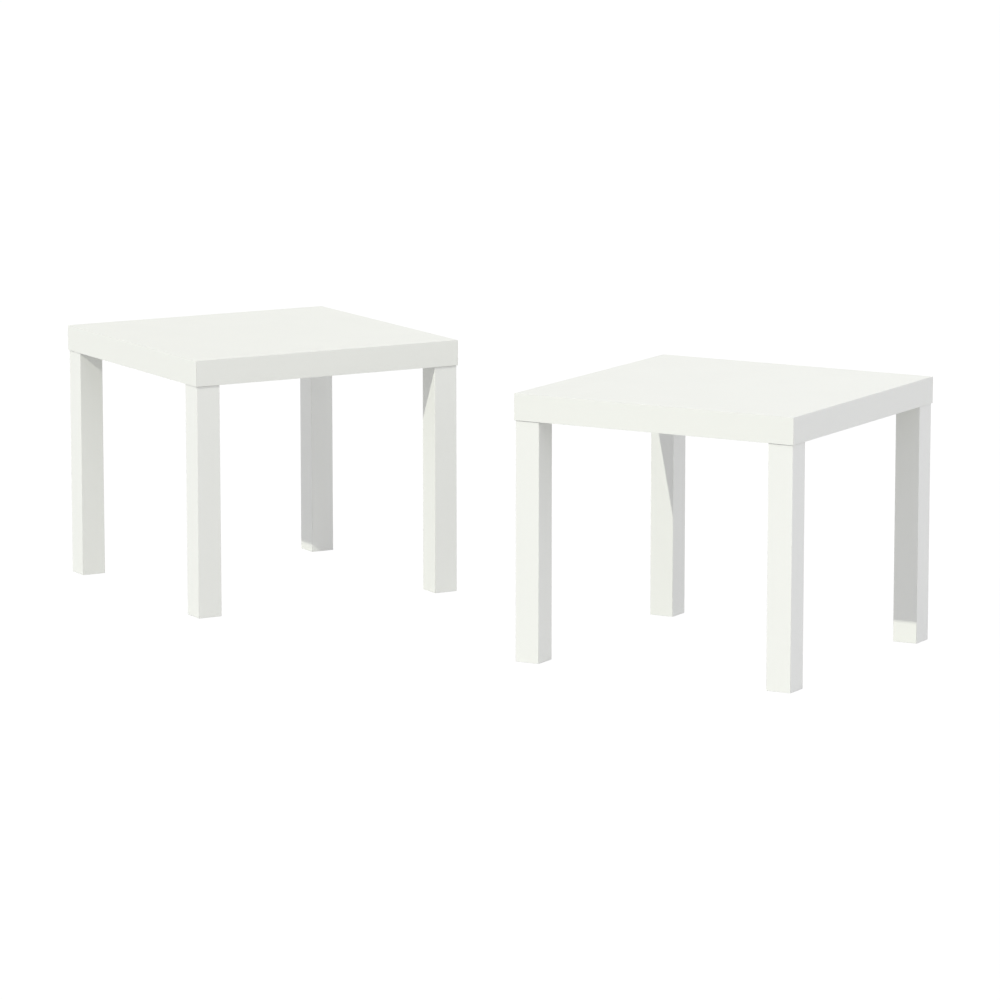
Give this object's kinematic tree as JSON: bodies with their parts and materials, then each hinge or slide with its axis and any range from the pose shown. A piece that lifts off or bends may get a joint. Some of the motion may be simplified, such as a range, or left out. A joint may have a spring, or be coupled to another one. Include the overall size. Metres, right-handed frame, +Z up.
{
  "type": "side table pair",
  "caption": "Square side tables with thick hollow-core tops on square legs that screw on, standing beside each other at different angles, in plain white.",
  "frame": {"origin": "on the floor, at the middle of the footprint of the pair", "axes": "+X from table B to table A, square to table A's sides; +Y across, square to table A's front; +Z up. Table B is turned 30 degrees clockwise seen from above."},
  "size_m": [1.6142, 0.7452, 0.45],
  "materials": {
    "white_lacquer": "satin white lacquer on fibreboard",
    "white_underside": "thin matt white primer on fibreboard",
    "white_edge_band": "satin white plastic edge band",
    "white_foil": "satin white foil wrapped round fibreboard",
    "particleboard": "raw particleboard",
    "kraft_paper": "raw brown recycled paper",
    "zinc_steel": "bright zinc plating"
  },
  "bodies": {
    "table_a": {"table_a_top_skin": "white_lacquer", "table_a_bottom_skin": "white_underside", "table_a_rail_left": "particleboard", "table_a_rail_right": "particleboard", "table_a_rail_front": "particleboard", "table_a_rail_back": "particleboard", "table_a_edge_band_front": "white_edge_band", "table_a_edge_band_back": "white_edge_band", "table_a_edge_band_left": "white_edge_band", "table_a_edge_band_right": "white_edge_band", "table_a_honeycomb_core": "kraft_paper", "table_a_leg_shell_front_left": "white_foil", "table_a_leg_head_front_left": "particleboard", "table_a_leg_foot_front_left": "particleboard", "table_a_leg_bolt_front_left": "zinc_steel", "table_a_leg_shell_front_right": "white_foil", "table_a_leg_head_front_right": "particleboard", "table_a_leg_foot_front_right": "particleboard", "table_a_leg_bolt_front_right": "zinc_steel", "table_a_leg_shell_back_left": "white_foil", "table_a_leg_head_back_left": "particleboard", "table_a_leg_foot_back_left": "particleboard", "table_a_leg_bolt_back_left": "zinc_steel", "table_a_leg_shell_back_right": "white_foil", "table_a_leg_head_back_right": "particleboard", "table_a_leg_foot_back_right": "particleboard", "table_a_leg_bolt_back_right": "zinc_steel"},
    "table_b": {"table_b_top_skin": "white_lacquer", "table_b_bottom_skin": "white_underside", "table_b_rail_left": "particleboard", "table_b_rail_right": "particleboard", "table_b_rail_front": "particleboard", "table_b_rail_back": "particleboard", "table_b_edge_band_front": "white_edge_band", "table_b_edge_band_back": "white_edge_band", "table_b_edge_band_left": "white_edge_band", "table_b_edge_band_right": "white_edge_band", "table_b_honeycomb_core": "kraft_paper", "table_b_leg_shell_front_left": "white_foil", "table_b_leg_head_front_left": "particleboard", "table_b_leg_foot_front_left": "particleboard", "table_b_leg_bolt_front_left": "zinc_steel", "table_b_leg_shell_front_right": "white_foil", "table_b_leg_head_front_right": "particleboard", "table_b_leg_foot_front_right": "particleboard", "table_b_leg_bolt_front_right": "zinc_steel", "table_b_leg_shell_back_left": "white_foil", "table_b_leg_head_back_left": "particleboard", "table_b_leg_foot_back_left": "particleboard", "table_b_leg_bolt_back_left": "zinc_steel", "table_b_leg_shell_back_right": "white_foil", "table_b_leg_head_back_right": "particleboard", "table_b_leg_foot_back_right": "particleboard", "table_b_leg_bolt_back_right": "zinc_steel"}
  },
  "joints": [
    {"name": "table_b_slide", "type": "slide", "parent": "table_a", "child": "table_b", "axis": [1, 0, 0], "range_m": [-0.5, 0.38]}
  ]
}
